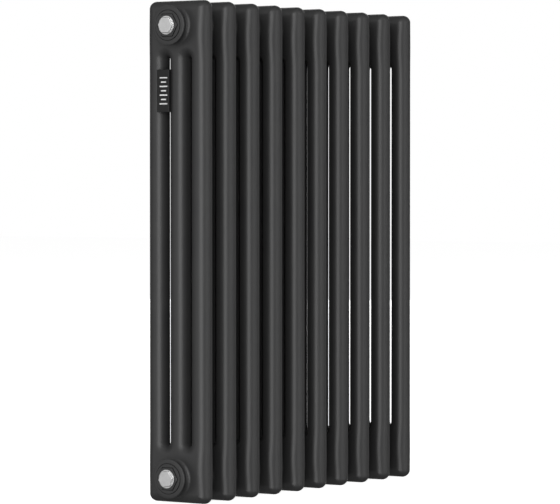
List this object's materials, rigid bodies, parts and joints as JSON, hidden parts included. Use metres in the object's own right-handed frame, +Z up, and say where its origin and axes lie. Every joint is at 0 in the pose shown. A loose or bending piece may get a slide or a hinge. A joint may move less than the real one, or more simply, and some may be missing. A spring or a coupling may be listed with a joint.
{
  "type": "column radiator with air vent",
  "caption": "Freestanding-height tubular steel column radiator with plugged hubs, an open pipe port and a manual air vent.",
  "frame": {"origin": "middle of the bounding box's bottom, where the lower heads stand", "axes": "+X along the row of sections from the plugged end to the vent end, +Y from the front columns to the wall side, +Z up"},
  "size_m": [0.4746, 0.0808, 0.556],
  "materials": {
    "powder_coat": "satin anthracite powder coat",
    "bright_plug": "satin nickel plate",
    "vent_plastic": "moulded, fine texture",
    "badge_plastic": "moulded, satin, pale printed bars"
  },
  "bodies": {
    "radiator": {"section_01_upper_head": "powder_coat", "section_01_lower_head": "powder_coat", "section_01_front_tube": "powder_coat", "section_01_middle_tube": "powder_coat", "section_01_rear_tube": "powder_coat", "section_02_upper_head": "powder_coat", "section_02_lower_head": "powder_coat", "section_02_front_tube": "powder_coat", "section_02_middle_tube": "powder_coat", "section_02_rear_tube": "powder_coat", "section_03_upper_head": "powder_coat", "section_03_lower_head": "powder_coat", "section_03_front_tube": "powder_coat", "section_03_middle_tube": "powder_coat", "section_03_rear_tube": "powder_coat", "section_04_upper_head": "powder_coat", "section_04_lower_head": "powder_coat", "section_04_front_tube": "powder_coat", "section_04_middle_tube": "powder_coat", "section_04_rear_tube": "powder_coat", "section_05_upper_head": "powder_coat", "section_05_lower_head": "powder_coat", "section_05_front_tube": "powder_coat", "section_05_middle_tube": "powder_coat", "section_05_rear_tube": "powder_coat", "section_06_upper_head": "powder_coat", "section_06_lower_head": "powder_coat", "section_06_front_tube": "powder_coat", "section_06_middle_tube": "powder_coat", "section_06_rear_tube": "powder_coat", "section_07_upper_head": "powder_coat", "section_07_lower_head": "powder_coat", "section_07_front_tube": "powder_coat", "section_07_middle_tube": "powder_coat", "section_07_rear_tube": "powder_coat", "section_08_upper_head": "powder_coat", "section_08_lower_head": "powder_coat", "section_08_front_tube": "powder_coat", "section_08_middle_tube": "powder_coat", "section_08_rear_tube": "powder_coat", "section_09_upper_head": "powder_coat", "section_09_lower_head": "powder_coat", "section_09_front_tube": "powder_coat", "section_09_middle_tube": "powder_coat", "section_09_rear_tube": "powder_coat", "section_10_upper_head": "powder_coat", "section_10_lower_head": "powder_coat", "section_10_front_tube": "powder_coat", "section_10_middle_tube": "powder_coat", "section_10_rear_tube": "powder_coat", "near_upper_bush": "powder_coat", "near_lower_bush": "powder_coat", "far_upper_bush": "powder_coat", "far_lower_bush": "powder_coat", "near_upper_plug": "bright_plug", "near_lower_plug": "bright_plug", "vent_body": "bright_plug", "badge": "badge_plastic"},
    "vent_spindle": {"vent_spindle": "bright_plug"},
    "vent_nozzle": {"vent_nozzle": "vent_plastic"}
  },
  "joints": [
    {"name": "vent_spindle_turn", "type": "hinge", "parent": "radiator", "child": "vent_spindle", "pos_m": [0.21987, 0, 0.528], "axis": [1, 0, 0], "range_deg": [0, 180]},
    {"name": "vent_nozzle_swivel", "type": "hinge", "parent": "radiator", "child": "vent_nozzle", "pos_m": [0.21987, 0, 0.528], "axis": [1, 0, 0], "continuous": true}
  ]
}
